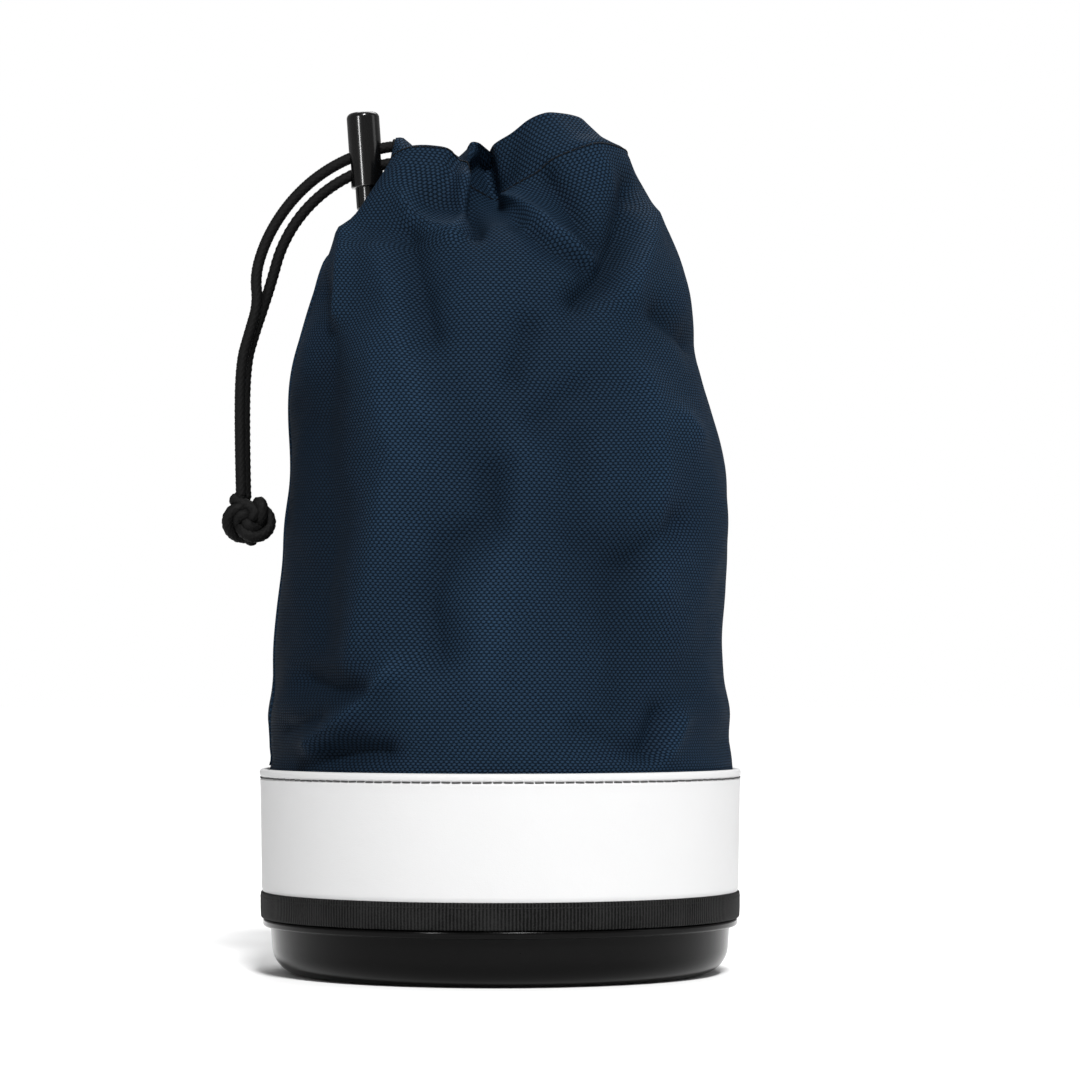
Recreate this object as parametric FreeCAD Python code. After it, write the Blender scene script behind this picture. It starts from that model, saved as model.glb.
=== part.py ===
import FreeCAD, Part
import math
import os

from FreeCAD import Placement, Rotation, Vector

# Drawstring bag on a moulded round base. Millimetres, +Z up, the front faces -Y.
# The origin is the centre of the base's foot.

# ---- driving dimensions ----
band_radius = 95.0          # outside of the white band, the widest part
fabric_thickness = 1.4
band_thickness = 2.6
stiffener_thickness = 1.4
collar_thickness = 2.6
fabric_gap = 0.15           # between the fabric and the rings on each side of it

foot_corner = 13.0          # round edge between the foot and the cup's wall
cup_radius = 90.5           # outside of the cup's wall
cup_wall = 3.0
lip_radius = 93.6
lip_bottom = 18.8
lip_top = 22.0
collar_top = 52.0           # the cup goes on inside the band up to here
binding_top = 32.5
band_top = 80.6
band_fold = 3.5             # height of the folded edge above its stitches

fabric_radius = band_radius - band_thickness
stiffener_radius = fabric_radius - fabric_thickness
collar_radius = stiffener_radius - stiffener_thickness

hem_height = 22.0
hem_middle = 314.0          # height of the hem's lower edge at the hem's centre
hem_tilt = 5.0              # degrees; the right-hand side stands higher
hem_centre_x = 3.5
hem_half_width = 48.0
hem_half_depth = 27.0
mouth_centre_x = 8.0
mouth_half_width = 24.0
mouth_half_depth = 11.0
hem_wall = 1.6

cord_diameter = 4.3
cord_clearance = 0.35       # round the cord where it goes through a hole
arc_centre = Vector(-35.0, 0.0, 265.0)   # the tails bend round this point
upper_arc = 63.0
lower_arc = 56.5
arc_step = 12.0             # degrees between the points of a tail's arc
knot_centre = Vector(-99.8, 0.0, 179.3)
knot_radius = 10.0

lock_centre = Vector(-53.9, 0.0, 326.0)
lock_tilt = 4.0             # degrees; the top leans away from the bag
lock_radius = 6.5
lock_length = 30.0
lock_bore = 5.0
lock_crown = 2.0            # closed top of the barrel
plunger_radius = 4.9
plunger_out = 9.0           # how far the plunger stands out of the barrel
plunger_travel = 3.5
spring_space = 6.0
spring_wire = 0.7

# Levels of the fabric tube from the band up. Left and right are distances from the Z axis.
body_levels = [
    # height, left, right, half depth, depth of the valley beside the cord lock
    (lip_top, fabric_radius, fabric_radius, fabric_radius, 0.0),
    (36.0, fabric_radius, fabric_radius, fabric_radius, 0.0),
    (50.0, fabric_radius, fabric_radius, fabric_radius, 0.0),
    (64.0, fabric_radius, fabric_radius, fabric_radius, 0.0),
    (74.0, fabric_radius, fabric_radius, fabric_radius, 0.0),
    (band_top, fabric_radius, fabric_radius, fabric_radius, 0.0),
    (88.0, 92.3, 92.1, 92.1, 0.0),
    (103.0, 91.8, 90.6, 90.5, 0.0),
    (150.0, 86.2, 89.2, 86.0, 0.0),
    (198.0, 83.6, 88.7, 80.0, 0.0),
    (246.0, 80.6, 74.8, 70.0, 0.0),
    (270.0, 73.8, 75.4, 62.0, 0.0),
    (286.0, 69.5, 69.3, 54.0, 4.0),
    (298.0, 65.5, 63.8, 45.0, 16.5),
    (307.0, 56.0, 59.5, 36.0, 11.5),
]
valley_half_width = 9.5
section_points = 48


def vertical(radius, low, high):
    return Part.makeCylinder(radius, high - low, Vector(0, 0, low))


def ring(outer, inner, low, high):
    return vertical(outer, low, high).cut(vertical(inner, low, high))


def revolved(points):
    """Solid of revolution about Z from a closed outline of (radius, height)."""
    corners = [Vector(r, 0, z) for r, z in points]
    face = Part.Face(Part.makePolygon(corners + corners[:1]))
    return face.revolve(Vector(0, 0, 0), Vector(0, 0, 1), 360)


# ---- base and band ----

def edges_at(shape, radius, height):
    """Circular edges of one radius at one height."""
    found = []
    for edge in shape.Edges:
        curve = edge.Curve
        if isinstance(curve, Part.Circle) and abs(curve.Radius - radius) < 0.01:
            if abs(curve.Center.z - height) < 0.01:
                found.append(edge)
    return found


def base_cup():
    outside = vertical(cup_radius, 0, lip_top)
    outside = outside.fuse(vertical(collar_radius, 0, collar_top)).removeSplitter()
    outside = outside.makeFillet(foot_corner, edges_at(outside, cup_radius, 0))
    inside = vertical(collar_radius - collar_thickness, cup_wall, collar_top + 1)
    inner_corner = foot_corner - cup_wall
    inside = inside.makeFillet(inner_corner, edges_at(inside, collar_radius - collar_thickness, cup_wall))
    lip = ring(lip_radius, cup_radius, lip_bottom, lip_top)
    lip_round = 1.2
    lip = lip.makeFillet(lip_round, edges_at(lip, lip_radius, lip_bottom) + edges_at(lip, lip_radius, lip_top))
    return outside.cut(inside).fuse(lip).removeSplitter()


def band_stiffener():
    return ring(stiffener_radius - fabric_gap, collar_radius, lip_top, band_top - 2.0)


def band_groove():
    """Ring of thread under the band's fold, half sunk in the band."""
    return Part.makeTorus(band_radius - 0.1, 0.4, Vector(0, 0, band_top - band_fold))


def band_cover():
    foot_radius = band_radius - 0.9
    inner_radius = fabric_radius + fabric_gap
    shape = revolved([
        (inner_radius, binding_top),
        (foot_radius, binding_top),
        (band_radius, band_top - band_fold),
        (band_radius, band_top),
        (inner_radius, band_top),
    ])
    shape = shape.makeFillet(1.2, edges_at(shape, band_radius, band_top))
    return shape.cut(band_groove())


def binding_tape():
    shape = ring(band_radius - 0.4, fabric_radius + fabric_gap, lip_top, binding_top)
    outer = band_radius - 0.4
    shape = shape.makeFillet(0.9, edges_at(shape, outer, lip_top) + edges_at(shape, outer, binding_top))
    return shape.cut(binding_thread())


def binding_thread():
    return Part.makeTorus(band_radius - 0.5, 0.35, Vector(0, 0, binding_top - 2.0))


# ---- fabric ----

def section(z, left, right, depth, valley, offset):
    """Closed curve of one level of the fabric tube, with a valley at its left end."""
    middle = (right - left) / 2
    half_width = (right + left) / 2 + offset
    points = []
    for i in range(section_points):
        angle = 2 * math.pi * i / section_points
        x = middle + half_width * math.cos(angle)
        y = (depth + offset) * math.sin(angle)
        if x < middle:
            x += valley * math.exp(-(y / valley_half_width) ** 2)
        points.append(Vector(x, y, z))
    return closed_curve(points)


def closed_curve(points):
    curve = Part.BSplineCurve()
    curve.interpolate(Points=points, PeriodicFlag=True)
    return Part.Wire([curve.toShape()])


def hem_height_at(x):
    return hem_middle + (x - hem_centre_x) * math.tan(math.radians(hem_tilt))


def top_section(offset, rise):
    """The tube's last section lies in the plane of the hem's lower edge, or a rise above it."""
    points = []
    for i in range(section_points):
        angle = 2 * math.pi * i / section_points
        x = hem_centre_x + (hem_half_width + offset) * math.cos(angle)
        y = (hem_half_depth + offset) * math.sin(angle)
        points.append(Vector(x, y, hem_height_at(x) + rise))
    return closed_curve(points)


def body_solid(offset, overshoot=0.0):
    """The fabric tube as a full solid; an overshoot makes it longer at both ends."""
    wires = [section(*level, offset) for level in body_levels]
    if overshoot:
        foot, left, right, depth, valley = body_levels[0]
        wires[0] = section(foot - overshoot, left, right, depth, valley, offset)
    wires.append(top_section(offset, overshoot))
    smooth_degree = 2
    return Part.makeLoft(wires, True, False, False, smooth_degree)


def body_shell():
    return body_solid(0).cut(body_solid(-fabric_thickness, 2.0))


def side_seam():
    """Felled seam: a raised strip up the left side of the tube."""
    seam_width = 9.0
    seam_lift = 0.9
    seam_top = 280.0
    seam_foot = band_top + 0.2
    strip = Part.makeBox(60, seam_width, seam_top - seam_foot, Vector(-110, -seam_width / 2, seam_foot))
    return body_solid(seam_lift).common(strip).cut(body_solid(0))


def tilted(shape):
    """Lay a shape made on a level plane at height 0 on the plane of the hem."""
    turn = Rotation(Vector(0, 1, 0), -hem_tilt)
    return shape.transformed(Placement(Vector(0, 0, hem_height_at(0)), turn).toMatrix())


def oval(centre_x, half_width, half_depth, low, high):
    ellipse = Part.Ellipse(Vector(centre_x, 0, low), half_width, half_depth)
    face = Part.Face(Part.Wire([ellipse.toShape()]))
    return face.extrude(Vector(0, 0, high - low))


def hem_channel():
    outside = oval(hem_centre_x, hem_half_width, hem_half_depth, 0, hem_height)
    mouth = oval(mouth_centre_x, mouth_half_width, mouth_half_depth, -1, hem_height + 1)
    tunnel = oval(hem_centre_x, hem_half_width - hem_wall, hem_half_depth - hem_wall,
                  hem_wall, hem_height - hem_wall)
    lining = oval(mouth_centre_x, mouth_half_width + hem_wall, mouth_half_depth + hem_wall,
                  0, hem_height)
    hem = outside.cut(tunnel.cut(lining)).cut(mouth)
    exit_half = cord_diameter / 2 + 1.0
    exit_low = 8.0
    exit_high = hem_height - 1.2
    cord_exit = Part.makeBox(8, 2 * exit_half, exit_high - exit_low, Vector(-49, -exit_half, exit_low))
    return tilted(hem.cut(cord_exit))


def hem_stitching():
    lift = 0.4
    low = 1.5
    high = 2.3
    outer = oval(hem_centre_x, hem_half_width + lift, hem_half_depth + lift, low, high)
    return tilted(outer.cut(oval(hem_centre_x, hem_half_width, hem_half_depth, low, high)))


# ---- drawcord ----

def tube(name, points):
    """Cord along straight runs joined by the largest tangent arcs the runs allow."""
    edges = []
    start = points[0]
    radii = []
    for before, corner, after in zip(points, points[1:], points[2:]):
        run_in = corner - before
        run_out = after - corner
        turn = run_in.getAngle(run_out)
        reach = 0.45 * min(run_in.Length, run_out.Length)
        radii.append(reach / math.tan(turn / 2))
        first = corner - run_in.normalize() * reach
        last = corner + run_out.normalize() * reach
        bisector = (last + first) * 0.5 - corner
        to_middle = radii[-1] / math.cos(turn / 2) - radii[-1]
        middle = corner + bisector.normalize() * to_middle
        edges.append(Part.LineSegment(start, first).toShape())
        edges.append(Part.Arc(first, middle, last).toShape())
        start = last
    edges.append(Part.LineSegment(start, points[-1]).toShape())
    path = Part.Wire(edges)
    direction = points[1] - points[0]
    circle = Part.Circle(points[0], direction, cord_diameter / 2)
    solid = path.makePipeShell([Part.Wire([circle.toShape()])], True, True)
    expected = math.pi * cord_diameter ** 2 / 4 * path.Length
    print(name, "length %.1f" % path.Length, "smallest radius %.1f" % min(radii),
          "volume ratio %.4f" % (solid.Volume / expected))
    return solid


def arc_points(radius, degrees_list):
    """Corners of the runs that touch the arc of one tail."""
    corner = radius / math.cos(math.radians(arc_step / 2))
    points = []
    for degrees in degrees_list:
        turn = math.radians(degrees)
        points.append(arc_centre + Vector(-corner * math.sin(turn), 0, corner * math.cos(turn)))
    return points


def tail_start(radius):
    """Where a tail begins inside the hem, on the line of its first run."""
    turn = math.radians(2.0)
    return arc_centre + Vector(-radius * math.sin(turn), 0, radius * math.cos(turn))


arc_corners = [8, 20, 32, 44, 56]

upper_tail_points = [tail_start(upper_arc)] + arc_points(upper_arc, arc_corners) + [
    Vector(-93.9, -0.5, 288.7),
    Vector(-97.5, -1.6, 276.0),
    Vector(-96.2, -2.4, 264.5),
    Vector(-99.6, -2.4, 253.0),
    Vector(-103.0, -2.3, 241.0),
    Vector(-103.4, -2.3, 215.0),
    Vector(-102.6, -2.3, 187.5),
]

lower_tail_points = [tail_start(lower_arc)] + arc_points(lower_arc, arc_corners) + [
    Vector(-87.7, 0.5, 286.2),
    Vector(-90.8, 1.6, 275.0),
    Vector(-94.3, 2.4, 264.0),
    Vector(-98.0, 2.4, 253.0),
    Vector(-101.4, 2.3, 241.0),
    Vector(-101.9, 2.3, 215.0),
    Vector(-101.2, 2.3, 187.5),
]


def hem_run_points():
    """The cord's route inside the hem, from the upper tail round to the lower one."""
    lean = math.radians(2.0)
    first = tail_start(upper_arc)
    last = tail_start(lower_arc)
    lead = Vector(10.0 * math.cos(lean), 0, 10.0 * math.sin(lean))
    return [
        first,
        first + lead,
        Vector(-18.0, -6.6, 327.0),
        Vector(-6.0, -17.0, 325.5),
        Vector(9.0, -20.2, 325.6),
        Vector(24.0, -18.4, 327.0),
        Vector(36.0, -10.6, 328.6),
        Vector(39.8, 2.0, 329.0),
        Vector(33.8, 13.8, 327.8),
        Vector(21.0, 19.6, 326.2),
        Vector(6.0, 20.2, 324.4),
        Vector(-8.0, 16.4, 322.6),
        Vector(-18.6, 7.0, 321.8),
        last + lead,
        last,
    ]


def end_knot(tails):
    knot = Part.makeSphere(knot_radius, knot_centre)
    for tail in tails:
        knot = knot.cut(tail)
    return knot


# ---- cord lock ----

def cord_slot(reach_down):
    """Slot round both tails; reach_down lengthens its lower end along the barrel."""
    half = cord_diameter / 2 + cord_clearance
    slab = Part.makeCylinder(upper_arc, 2 * half, arc_centre - Vector(0, half, 0), Vector(0, 1, 0))
    core = Part.makeCylinder(lower_arc, 2 * half, arc_centre - Vector(0, half, 0), Vector(0, 1, 0))
    slot = slab.cut(core)
    for radius in (upper_arc, lower_arc):
        slot = slot.fuse(Part.makeTorus(radius, half, arc_centre, Vector(0, 1, 0)))
    keep = Part.makeBox(24, 4 * half, 60, Vector(lock_centre.x - 12, -2 * half, lock_centre.z - 40))
    slot = slot.common(keep)
    if reach_down:
        low = slot.copy()
        low.translate(lock_axis() * -reach_down)
        middle = slot.copy()
        middle.translate(lock_axis() * (-reach_down / 2))
        slot = slot.fuse(middle).fuse(low)
    return slot


def lock_axis():
    lean = math.radians(lock_tilt)
    return Vector(-math.sin(lean), 0, math.cos(lean))


def on_lock(shape):
    """Place a shape made upright about the barrel's middle."""
    turn = Rotation(Vector(0, 1, 0), -lock_tilt)
    return shape.transformed(Placement(lock_centre, turn).toMatrix())


def upright(radius, low, high):
    return Part.makeCylinder(radius, high - low, Vector(0, 0, low))


def lock_barrel():
    top = lock_length / 2
    barrel = upright(lock_radius, -top, top)
    barrel = barrel.makeFillet(2.2, edges_at(barrel, lock_radius, top))
    barrel = barrel.makeFillet(0.5, edges_at(barrel, lock_radius, -top))
    barrel = barrel.cut(upright(lock_bore, -top - 1, top - lock_crown))
    return on_lock(barrel).cut(cord_slot(0))


def lock_plunger():
    low = -lock_length / 2 - plunger_out
    high = lock_length / 2 - lock_crown - spring_space
    plunger = upright(plunger_radius, low, high)
    plunger = plunger.makeFillet(1.2, edges_at(plunger, plunger_radius, low))
    return on_lock(plunger).cut(cord_slot(plunger_travel + 0.3))


def lock_spring():
    """Compression spring between the plunger and the barrel's closed top."""
    turns = 2.5
    coil_radius = plunger_radius - 1.2
    gap = spring_wire / 2 + 0.05
    low = lock_length / 2 - lock_crown - spring_space + gap
    rise = spring_space - 2 * gap
    helix = Part.makeHelix(rise / turns, rise, coil_radius)
    helix.translate(Vector(0, 0, low))
    circle = Part.Circle(Vector(coil_radius, 0, low), Vector(0, 1, 0), spring_wire / 2)
    coil = Part.Wire(helix.Edges).makePipeShell([Part.Wire([circle.toShape()])], True, True)
    return on_lock(coil)


# ---- all sub-parts ----

def all_parts():
    upper_tail = tube("drawcord_tail_upper", upper_tail_points)
    lower_tail = tube("drawcord_tail_lower", lower_tail_points)
    return {
        "base_cup": base_cup(),
        "band_stiffener": band_stiffener(),
        "band_cover": band_cover(),
        "band_stitching": band_groove(),
        "binding_tape": binding_tape(),
        "binding_stitching": binding_thread(),
        "body_shell": body_shell(),
        "side_seam": side_seam(),
        "hem_channel": hem_channel(),
        "hem_stitching": hem_stitching(),
        "drawcord_hem_run": tube("drawcord_hem_run", hem_run_points()),
        "drawcord_tail_upper": upper_tail,
        "drawcord_tail_lower": lower_tail,
        "end_knot": end_knot([upper_tail, lower_tail]),
        "lock_barrel": lock_barrel(),
        "lock_plunger": lock_plunger(),
        "lock_spring": lock_spring(),
    }


os.makedirs("parts", exist_ok=True)
for node, shape in all_parts().items():
    box = shape.BoundBox
    print("%-22s valid %s solids %d volume %.0f x %.1f %.1f y %.1f %.1f z %.1f %.1f" % (
        node, shape.isValid(), len(shape.Solids), shape.Volume,
        box.XMin, box.XMax, box.YMin, box.YMax, box.ZMin, box.ZMax))
    shape.exportStep("parts/%s.step" % node)
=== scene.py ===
import math

import bmesh
import bpy
import numpy as np
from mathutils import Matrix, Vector


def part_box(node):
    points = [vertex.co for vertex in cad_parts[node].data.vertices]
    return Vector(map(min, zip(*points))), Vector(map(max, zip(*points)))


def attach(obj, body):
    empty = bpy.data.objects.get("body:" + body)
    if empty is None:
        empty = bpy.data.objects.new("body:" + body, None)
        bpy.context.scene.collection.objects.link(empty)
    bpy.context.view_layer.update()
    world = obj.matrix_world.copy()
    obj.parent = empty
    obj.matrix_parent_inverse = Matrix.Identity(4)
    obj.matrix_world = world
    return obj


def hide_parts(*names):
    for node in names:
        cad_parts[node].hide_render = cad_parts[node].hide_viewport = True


# A golf practice-ball bag: a drawstring tube of coarse fabric on a banded, moulded base.
# Shapes are worked out in millimetres and made in metres.

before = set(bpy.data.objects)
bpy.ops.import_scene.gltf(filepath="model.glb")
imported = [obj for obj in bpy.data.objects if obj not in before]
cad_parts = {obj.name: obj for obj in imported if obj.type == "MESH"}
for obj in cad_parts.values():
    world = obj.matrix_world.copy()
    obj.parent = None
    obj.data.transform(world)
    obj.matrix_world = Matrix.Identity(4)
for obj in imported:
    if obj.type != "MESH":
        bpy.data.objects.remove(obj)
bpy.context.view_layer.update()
mm = 0.001


def box_in_mm(node):
    """The two corners of a node's box."""
    return [[value / mm for value in corner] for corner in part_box(node)]


cup_top = box_in_mm("base_cup")[1][2]
band_top = box_in_mm("band_cover")[1][2]
tape_bottom, tape_top = (corner[2] for corner in box_in_mm("binding_tape"))
knot_low, knot_high = box_in_mm("end_knot")

band_radius = 95.0
band_wall = 2.6
fabric_radius = band_radius - band_wall
girth = 2 * math.pi * fabric_radius
band_fold = 3.5             # from the stitches up to the band's top edge
cord_diameter = 4.3


# ---- camera, light and floor ----

def add_camera():
    data = bpy.data.cameras.new("camera")
    data.lens = 132.0
    data.clip_end = 50.0
    camera = bpy.data.objects.new("camera", data)
    camera.location = (0.0157, -1.57, 0.116)
    level = 90.0
    upward_tilt = 2.0
    camera.rotation_euler = (math.radians(level + upward_tilt), 0.0, 0.0)
    bpy.context.scene.collection.objects.link(camera)
    bpy.context.scene.camera = camera


def add_area_light(name, place, target, width, height, power, only_gloss=False):
    data = bpy.data.lights.new(name, "AREA")
    data.shape = "RECTANGLE"
    data.size = width
    data.size_y = height
    data.energy = power
    light = bpy.data.objects.new(name, data)
    light.location = place
    light.rotation_euler = (Vector(target) - Vector(place)).to_track_quat("-Z", "Y").to_euler()
    light.visible_diffuse = not only_gloss
    bpy.context.scene.collection.objects.link(light)


def add_sun(name, direction, strength, softness):
    data = bpy.data.lights.new(name, "SUN")
    data.energy = strength
    data.angle = math.radians(softness)
    light = bpy.data.objects.new(name, data)
    light.rotation_euler = Vector(direction).to_track_quat("-Z", "Y").to_euler()
    bpy.context.scene.collection.objects.link(light)


def add_studio():
    middle = (0.0, 0.0, 0.17)
    lock = (-0.054, 0.0, 0.326)
    add_sun("key_sun", (-0.17, 0.83, -0.92), strength=3.75, softness=12.0)
    add_area_light("left_softbox", (-0.93, -1.46, 0.66), lock, 0.18, 0.7, power=14.0, only_gloss=True)
    add_area_light("right_softbox", (1.7, -0.3, 0.6), middle, 0.6, 1.2, power=3.0)
    add_area_light("back_softbox", (0.2, 0.9, 1.5), middle, 1.2, 0.8, power=14.0)
    add_white_world(fill=0.30)
    bpy.context.scene.view_settings.view_transform = "Standard"


def add_white_world(fill):
    """White all round to the camera, with a fill light of its own strength."""
    world = bpy.data.worlds.new("studio")
    world.use_nodes = True
    background = world.node_tree.nodes["Background"]
    background.inputs["Color"].default_value = grey(1.0)
    background.inputs["Strength"].default_value = fill
    bright = world.node_tree.nodes.new("ShaderNodeBackground")
    bright.inputs["Color"].default_value = grey(1.0)
    seen = world.node_tree.nodes.new("ShaderNodeLightPath")
    mix = world.node_tree.nodes.new("ShaderNodeMixShader")
    links = world.node_tree.links
    links.new(seen.outputs["Is Camera Ray"], mix.inputs[0])
    links.new(background.outputs[0], mix.inputs[1])
    links.new(bright.outputs[0], mix.inputs[2])
    links.new(mix.outputs[0], world.node_tree.nodes["World Output"].inputs[0])
    bpy.context.scene.world = world


def deselect():
    if bpy.context.object and bpy.context.object.mode != "OBJECT":
        bpy.ops.object.mode_set(mode="OBJECT")
    bpy.ops.object.select_all(action="DESELECT")


def add_floor():
    deselect()
    bpy.ops.mesh.primitive_circle_add(vertices=96, radius=14.0, fill_type="NGON")
    floor = bpy.context.active_object
    floor.name = "studio_floor"
    floor.data.materials.append(plain_floor())


# ---- shader helpers ----

class Value:
    """A number, colour or vector inside a shader, with arithmetic for numbers."""

    def __init__(self, shader, socket):
        self.shader = shader
        self.socket = socket

    def math(self, operation, *values):
        return self.shader.node("ShaderNodeMath", {"operation": operation}, dict(enumerate(values)))

    def __add__(self, other):
        return self.math("ADD", self, other)

    def __radd__(self, other):
        return self.math("ADD", other, self)

    def __sub__(self, other):
        return self.math("SUBTRACT", self, other)

    def __rsub__(self, other):
        return self.math("SUBTRACT", other, self)

    def __mul__(self, other):
        return self.math("MULTIPLY", self, other)

    def __rmul__(self, other):
        return self.math("MULTIPLY", other, self)

    def __truediv__(self, other):
        return self.math("DIVIDE", self, other)

    def __pow__(self, other):
        return self.math("POWER", self, other)

    def __abs__(self):
        return self.math("ABSOLUTE", self)

    def cos(self):
        return self.math("COSINE", self)

    def fraction(self):
        return self.math("FRACT", self)

    def clamped(self):
        return self.shader.node("ShaderNodeClamp", {}, {"Value": self})

    def maximum(self, other):
        return self.math("MAXIMUM", self, other)


class Shader:
    """A material built from nodes, ending in one Principled surface."""

    def __init__(self, name, **constants):
        self.material = bpy.data.materials.new(name)
        self.material.use_nodes = True
        self.tree = self.material.node_tree
        self.surface = self.tree.nodes["Principled BSDF"]
        for socket, value in constants.items():
            self.surface.inputs[socket.replace("_", " ")].default_value = value

    def node(self, kind, settings, inputs, output=0):
        node = self.tree.nodes.new(kind)
        for name, value in settings.items():
            setattr(node, name, value)
        for key, value in inputs.items():
            self.join(value, node.inputs[key])
        return Value(self, node.outputs[output])

    def join(self, value, socket):
        if isinstance(value, Value):
            self.tree.links.new(value.socket, socket)
        else:
            socket.default_value = value

    def finished(self, colour, roughness, normal=None):
        self.join(colour, self.surface.inputs["Base Color"])
        self.join(roughness, self.surface.inputs["Roughness"])
        if normal:
            self.join(normal, self.surface.inputs["Normal"])
        return self.material

    def coordinates(self, output):
        return self.node("ShaderNodeTexCoord", {}, {}, output)

    def axes(self, vector):
        return [self.node("ShaderNodeSeparateXYZ", {}, {0: vector}, axis) for axis in range(3)]

    def noise(self, vector, scale, detail=2.0, roughness=0.5):
        return self.node("ShaderNodeTexNoise", {},
                         {"Vector": vector, "Scale": scale, "Detail": detail, "Roughness": roughness})

    def mix(self, factor, first, second):
        return self.node("ShaderNodeMix", {"data_type": "RGBA"}, {0: factor, 6: first, 7: second}, 2)

    def bump(self, height, distance, strength=1.0, below=None):
        inputs = {"Height": height, "Distance": distance, "Strength": strength}
        if below:
            inputs["Normal"] = below
        return self.node("ShaderNodeBump", {}, inputs)


def grey(level):
    return (level, level, level, 1.0)


# ---- materials ----

def plain_floor():
    shader = Shader("studio_white")
    place = shader.coordinates("Object")
    tone = shader.noise(place, 3.0)
    return shader.finished(shader.mix(tone, grey(0.93), grey(0.95)), 0.9)


def navy_weave():
    """Plain weave: a thick weft shows as staggered dashes between finer, darker warps."""
    warp_pitch = 1.0 * mm
    weft_pitch = 1.14 * mm
    shader = Shader("navy_ballistic_weave", Specular_IOR_Level=0.04)
    place = shader.coordinates("UV")
    u, v, _ = shader.axes(place)
    drift = shader.noise(place, 55.0, 3.0)
    across = u / warp_pitch + drift * 1.6
    along = v / weft_pitch + shader.noise(place, 40.0, 3.0) * 1.2
    warp = ((along - 0.5 - across.math("FLOOR", across)) * math.pi).cos()
    weft = ((across - 0.5 - along.math("FLOOR", along)) * math.pi).cos() * -1.0
    weft_round = (1.15 - abs(along.fraction() - 0.5) ** 3.0 * 9.0).clamped()
    warp_round = 1.0 - abs(across.fraction() - 0.5) ** 2.0 * 4.0
    dash = ((weft + 0.95) * weft_round * 0.85).clamped()
    upright = ((warp - 0.05) * warp_round).clamped()
    yarn = shader.noise(place, 1300.0, 2.0)
    wide = shader.noise(place, 16.0, 4.0, 0.6)
    # The cloth's painted light and shade, per point: darker on the shaded flanks and in fold valleys,
    # lighter on fold crests.
    painted_light = shader.node("ShaderNodeAttribute", {"attribute_name": "painted_light"}, {}, 2)
    # Painted shade in the weave: the gaps between the yarns are darkest, and the warps are darker than the
    # weft dashes; yarn and wide noise add random tone.
    light = (dash * 0.76 + upright * 0.20 + 0.02) * (0.72 + yarn * 0.5) * (0.80 + wide * 0.40)
    light = (light * (0.5 + painted_light * 0.5)).clamped()
    painted_gap_shade = (0.0003, 0.0011, 0.0025, 1.0)
    yarn_crown = (0.0150, 0.0350, 0.0660, 1.0)
    fibre = shader.bump(yarn, 0.05 * mm, 0.5)
    relief = shader.bump(dash.maximum(upright * 0.8), 0.34 * mm, 1.0, fibre)
    return shader.finished(shader.mix(light, painted_gap_shade, yarn_crown),
                           0.80 - dash * 0.16 + yarn * 0.08, relief)


def white_leatherette():
    shader = Shader("white_leatherette", Specular_IOR_Level=0.4)
    place = shader.coordinates("Object")
    grain = shader.node("ShaderNodeTexVoronoi", {"feature": "DISTANCE_TO_EDGE"},
                        {"Vector": place, "Scale": 1500.0})
    soft = shader.noise(place, 90.0, 4.0, 0.6)
    wide = shader.noise(place, 12.0, 3.0)
    tone = shader.mix(wide, (0.575, 0.575, 0.577, 1.0), (0.61, 0.61, 0.612, 1.0))
    fine = shader.bump(grain, 0.08 * mm, 0.5)
    return shader.finished(tone, 0.42 + soft * 0.16, shader.bump(soft, 0.35 * mm, 0.5, fine))


def base_plastic():
    shader = Shader("gloss_base_plastic", Specular_IOR_Level=0.09)
    place = shader.coordinates("Object")
    cloudy = shader.noise(place, 18.0, 4.0)
    fine = shader.noise(place, 900.0, 3.0)
    return shader.finished(shader.mix(cloudy, grey(0.0015), grey(0.003)),
                           0.10 + cloudy * 0.10 + fine * 0.04, shader.bump(fine, 0.02 * mm, 0.25))


def ribbed_tape():
    rib_count = 430
    weft_pitch = 0.55 * mm
    shader = Shader("black_ribbed_tape", Specular_IOR_Level=0.08)
    place = shader.coordinates("Object")
    x, y, z = shader.axes(place)
    turn = y.math("ARCTAN2", y, x)
    rib = (turn * rib_count).cos() * 0.5 + 0.5
    weft = (z / weft_pitch * 2.0 * math.pi + (turn * rib_count * 0.5).cos() * 1.6).cos() * 0.5 + 0.5
    fibre = shader.noise(place, 1600.0, 2.0)
    height = rib * 0.75 + weft * 0.25
    patch = shader.noise(place, 70.0, 3.0)
    # Painted highlights and shade: rib and weft crowns are lighter and grooves darker; fibre and patch
    # noise add random tone.
    light = ((height * 0.9 + fibre * 1.1 + patch * 0.9 - 1.08) * 1.6).clamped()
    return shader.finished(shader.mix(light, grey(0.0006), grey(0.0155)),
                           0.72 - rib * 0.18, shader.bump(height + fibre * 0.3, 0.34 * mm, 1.0))


def braid(name, low, high):
    """Cord and thread: glossy fibres over a modelled braid."""
    shader = Shader(name, Specular_IOR_Level=0.10)
    place = shader.coordinates("Object")
    fibre = shader.noise(place, 2600.0, 3.0)
    cloudy = shader.noise(place, 260.0, 2.0)
    return shader.finished(shader.mix((fibre * 0.7 + cloudy * 0.4).clamped(), grey(low), grey(high)),
                           0.55 + fibre * 0.25, shader.bump(fibre, 0.06 * mm, 0.6))


def lock_plastic():
    shader = Shader("satin_lock_plastic", Specular_IOR_Level=0.25, Coat_Weight=0.35, Coat_Roughness=0.08)
    place = shader.coordinates("Object")
    cloudy = shader.noise(place, 120.0, 3.0)
    fine = shader.noise(place, 2200.0, 2.0)
    return shader.finished(shader.mix(cloudy, grey(0.0012), grey(0.003)),
                           0.17 + cloudy * 0.06 + fine * 0.02, shader.bump(cloudy, 0.02 * mm, 0.3))


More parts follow.
